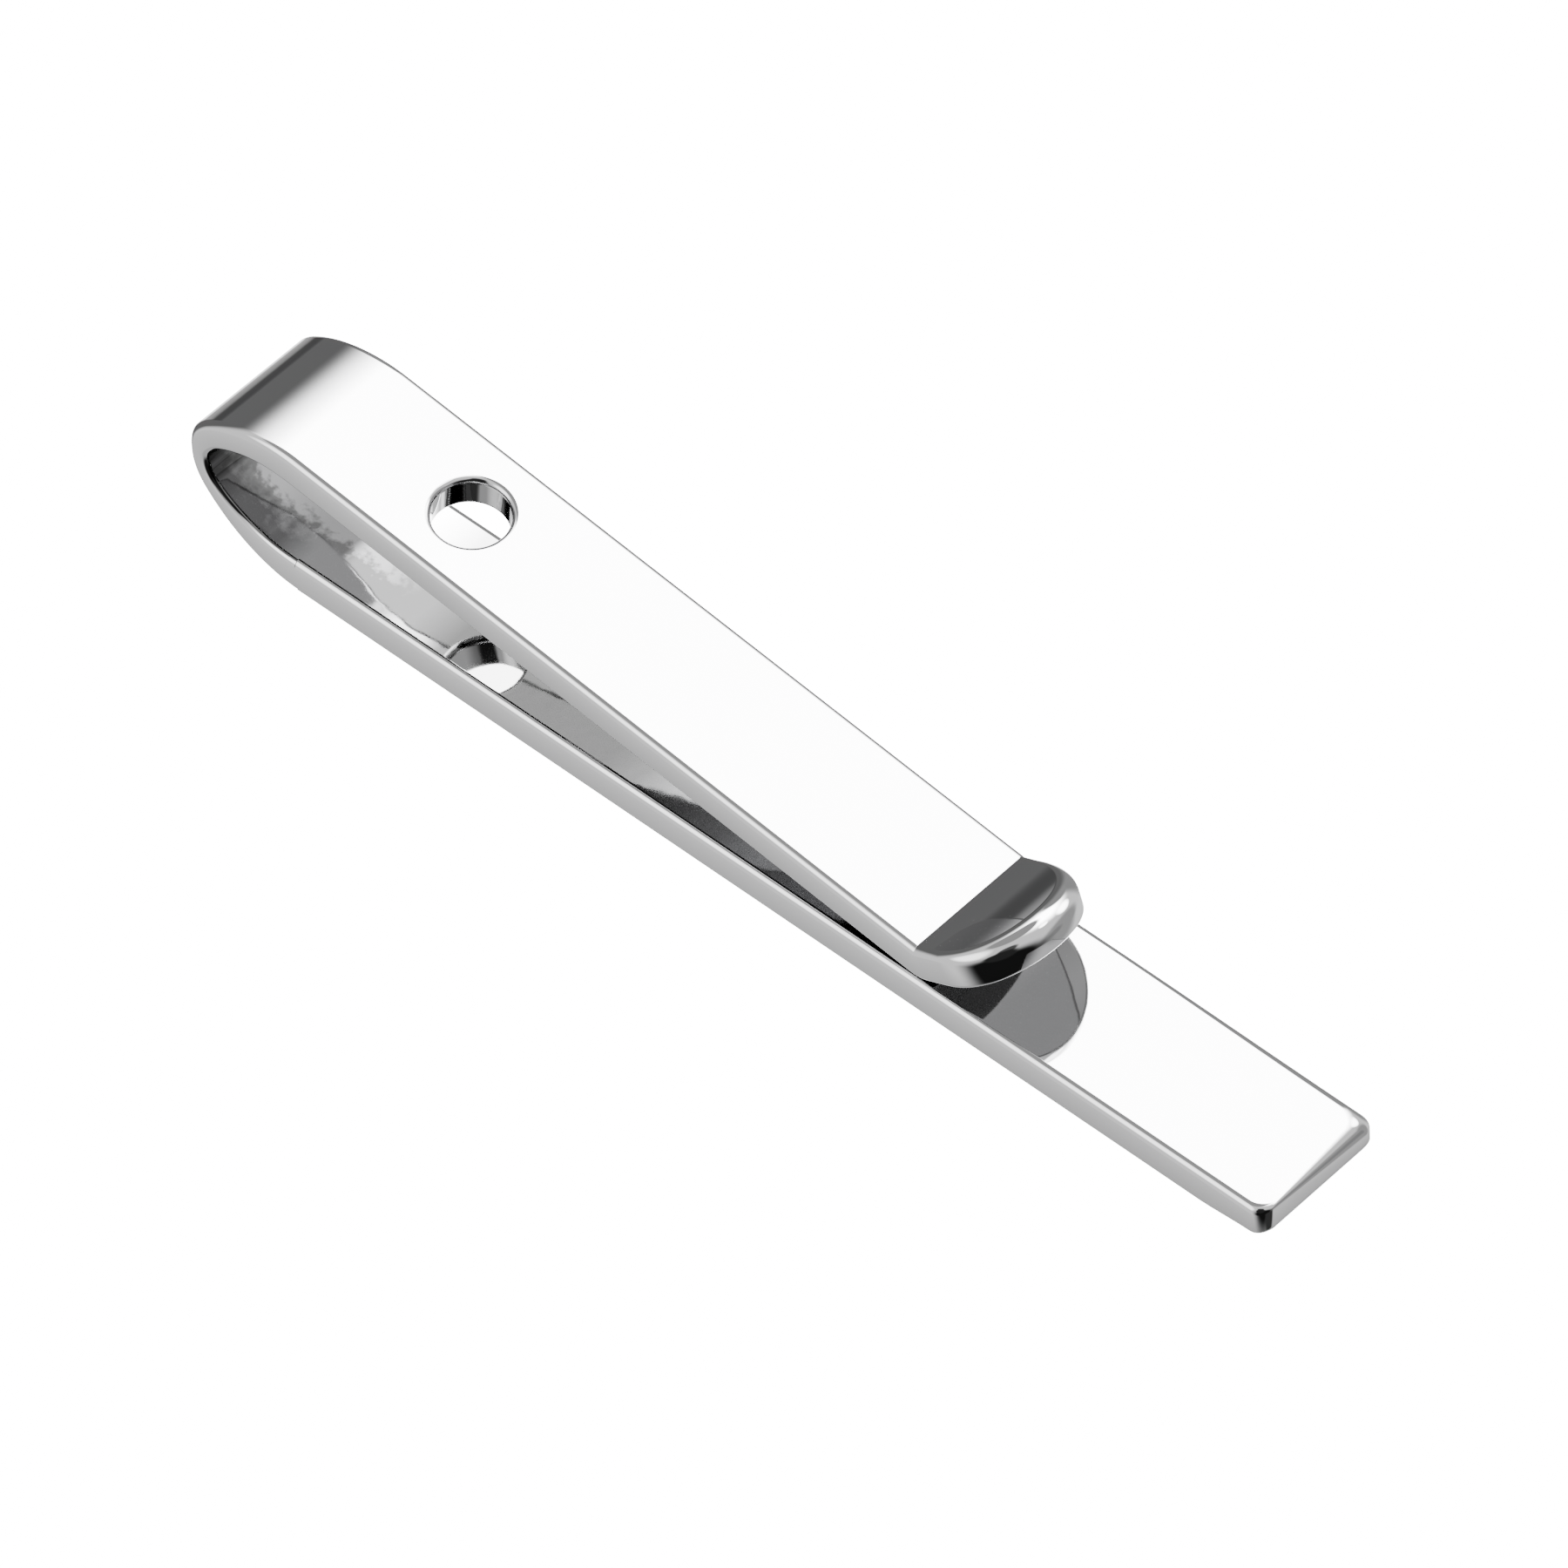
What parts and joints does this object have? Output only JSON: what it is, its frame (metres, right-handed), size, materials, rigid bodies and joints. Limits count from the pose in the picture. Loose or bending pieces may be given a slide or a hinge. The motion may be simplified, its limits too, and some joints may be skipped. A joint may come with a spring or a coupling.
{
  "type": "tie clip",
  "caption": "Slim mirror-polished tie clip folded from a flat strip, with a round hole in its spring arm and an upturned round-ended lift tongue.",
  "frame": {"origin": "middle of the bar's front face, the face seen when the clip is worn", "axes": "+X along the bar to its free end, +Z from the front face towards the spring arm, +Y across the strip"},
  "size_m": [0.0532, 0.006, 0.0076],
  "materials": {
    "mirror_plate": "mirror polished, bright white metal plate over hard-rolled brass"
  },
  "bodies": {
    "front": {"front_bar": "mirror_plate", "spring_fold": "mirror_plate"},
    "arm": {"clip_arm": "mirror_plate", "lift_tongue": "mirror_plate"}
  },
  "joints": [
    {"name": "arm_spring", "type": "hinge", "parent": "front", "child": "arm", "pos_m": [-0.02617, 0, 0.00411], "axis": [0, -1, 0], "range_deg": [0, 5], "stiffness_Nm_per_rad": 5, "deforming": ["spring_fold"]}
  ]
}
